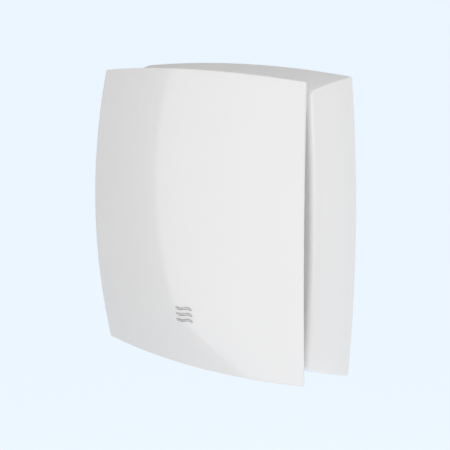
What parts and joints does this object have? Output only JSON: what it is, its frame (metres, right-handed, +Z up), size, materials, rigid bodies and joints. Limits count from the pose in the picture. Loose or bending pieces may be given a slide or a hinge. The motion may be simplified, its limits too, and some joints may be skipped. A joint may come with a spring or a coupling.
{
  "type": "heat recovery unit",
  "caption": "Indoor unit of a single-room heat recovery ventilator: domed square cover standing off a flared wall casing, with louvre, fan and heat store in a duct spigot.",
  "frame": {"origin": "on the duct axis, in the plane of the wall, where the rear plate meets it", "axes": "-Y out of the wall towards the room, +Y along the duct into the wall, +X to the right of a person facing the unit, +Z up"},
  "size_m": [0.3004, 0.155, 0.3076],
  "materials": {
    "gloss_white": "smooth glossy white moulding",
    "satin_white": "satin white moulding",
    "grey_plastic": "grey moulding",
    "black_plastic": "black moulding",
    "chrome": "polished plating",
    "zinc": "zinc plated steel",
    "foam": "closed-cell foam",
    "ceramic": "unglazed ceramic",
    "fleece": "filter fleece",
    "board_green": "circuit board",
    "clear": "clear lens",
    "rubber": "matt rubber"
  },
  "bodies": {
    "housing": {"casing": "satin_white", "rear_plate": "satin_white", "duct_spigot": "satin_white", "duct_seal_band": "foam", "louvre_frame": "satin_white", "louvre_actuator": "grey_plastic", "fan_housing": "grey_plastic", "fan_guard": "black_plastic", "fan_motor": "black_plastic", "control_board": "board_green", "power_supply": "black_plastic", "terminal_block": "grey_plastic", "terminal_cover": "black_plastic", "cable_grommet": "rubber", "fan_lead": "rubber", "actuator_lead": "rubber", "indicator_lens": "clear", "casing_screw_1": "zinc", "casing_screw_2": "zinc", "casing_screw_3": "zinc", "casing_screw_4": "zinc", "spigot_screw_1": "zinc", "spigot_screw_2": "zinc", "spigot_screw_3": "zinc", "spigot_screw_4": "zinc", "stud_socket_1": "grey_plastic", "stud_socket_2": "grey_plastic", "stud_socket_3": "grey_plastic", "stud_socket_4": "grey_plastic"},
    "cover": {"front_cover": "gloss_white", "cover_stud_1": "grey_plastic", "cover_stud_2": "grey_plastic", "cover_stud_3": "grey_plastic", "cover_stud_4": "grey_plastic", "badge_bar_1": "chrome", "badge_bar_2": "chrome", "badge_bar_3": "chrome"},
    "blade_1": {"louvre_blade_1": "satin_white"},
    "blade_2": {"louvre_blade_2": "satin_white"},
    "blade_3": {"louvre_blade_3": "satin_white"},
    "blade_4": {"louvre_blade_4": "satin_white"},
    "blade_5": {"louvre_blade_5": "satin_white"},
    "blade_6": {"louvre_blade_6": "satin_white"},
    "blade_7": {"louvre_blade_7": "satin_white"},
    "link": {"louvre_link": "grey_plastic"},
    "crank": {"louvre_crank": "black_plastic"},
    "impeller": {"fan_impeller": "grey_plastic", "fan_shaft": "zinc"},
    "cartridge": {"heat_store_core": "ceramic", "core_sleeve": "foam", "inner_filter": "fleece", "outer_filter": "fleece", "outer_grille": "grey_plastic", "pull_tab": "grey_plastic"},
    "button": {"power_button": "satin_white"},
    "slider": {"mode_slider": "satin_white"}
  },
  "joints": [
    {"name": "cover_slide", "type": "slide", "parent": "housing", "child": "cover", "axis": [0, -1, 0], "range_m": [0, 0.12]},
    {"name": "blade_1_hinge", "type": "hinge", "parent": "housing", "child": "blade_1", "pos_m": [0, -0.034, -0.0675], "axis": [1, 0, 0], "range_deg": [0, 80]},
    {"name": "blade_2_hinge", "type": "hinge", "parent": "housing", "child": "blade_2", "pos_m": [0, -0.034, -0.045], "axis": [1, 0, 0], "range_deg": [0, 80]},
    {"name": "blade_3_hinge", "type": "hinge", "parent": "housing", "child": "blade_3", "pos_m": [0, -0.034, -0.0225], "axis": [1, 0, 0], "range_deg": [0, 80]},
    {"name": "blade_4_hinge", "type": "hinge", "parent": "housing", "child": "blade_4", "pos_m": [0, -0.034, 0], "axis": [1, 0, 0], "range_deg": [0, 80]},
    {"name": "blade_5_hinge", "type": "hinge", "parent": "housing", "child": "blade_5", "pos_m": [0, -0.034, 0.0225], "axis": [1, 0, 0], "range_deg": [0, 80]},
    {"name": "blade_6_hinge", "type": "hinge", "parent": "housing", "child": "blade_6", "pos_m": [0, -0.034, 0.045], "axis": [1, 0, 0], "range_deg": [0, 80]},
    {"name": "blade_7_hinge", "type": "hinge", "parent": "housing", "child": "blade_7", "pos_m": [0, -0.034, 0.0675], "axis": [1, 0, 0], "range_deg": [0, 80]},
    {"name": "link_hinge", "type": "hinge", "parent": "blade_1", "child": "link", "pos_m": [0.0742, -0.02864, -0.072], "axis": [1, 0, 0], "range_deg": [-80, 0]},
    {"name": "crank_hinge", "type": "hinge", "parent": "housing", "child": "crank", "pos_m": [0.0742, -0.034, 0.01125], "axis": [1, 0, 0], "range_deg": [0, 80]},
    {"name": "fan_spin", "type": "hinge", "parent": "housing", "child": "impeller", "pos_m": [0, 0, 0], "axis": [0, 1, 0], "continuous": true},
    {"name": "cartridge_slide", "type": "slide", "parent": "housing", "child": "cartridge", "axis": [0, 1, 0], "range_m": [0, 0.06]},
    {"name": "button_slide", "type": "slide", "parent": "housing", "child": "button", "axis": [0, 0, 1], "range_m": [0, 0.0015], "stiffness_N_per_m": 400},
    {"name": "slider_slide", "type": "slide", "parent": "housing", "child": "slider", "axis": [1, 0, 0], "range_m": [-0.005, 0.005]}
  ],
  "couplings": [
    {"joint": "blade_2_hinge", "follows": "blade_1_hinge", "ratio": 1},
    {"joint": "blade_3_hinge", "follows": "blade_1_hinge", "ratio": 1},
    {"joint": "blade_4_hinge", "follows": "blade_1_hinge", "ratio": 1},
    {"joint": "blade_5_hinge", "follows": "blade_1_hinge", "ratio": 1},
    {"joint": "blade_6_hinge", "follows": "blade_1_hinge", "ratio": 1},
    {"joint": "blade_7_hinge", "follows": "blade_1_hinge", "ratio": 1},
    {"joint": "link_hinge", "follows": "blade_1_hinge", "ratio": -1},
    {"joint": "crank_hinge", "follows": "blade_1_hinge", "ratio": 1}
  ]
}
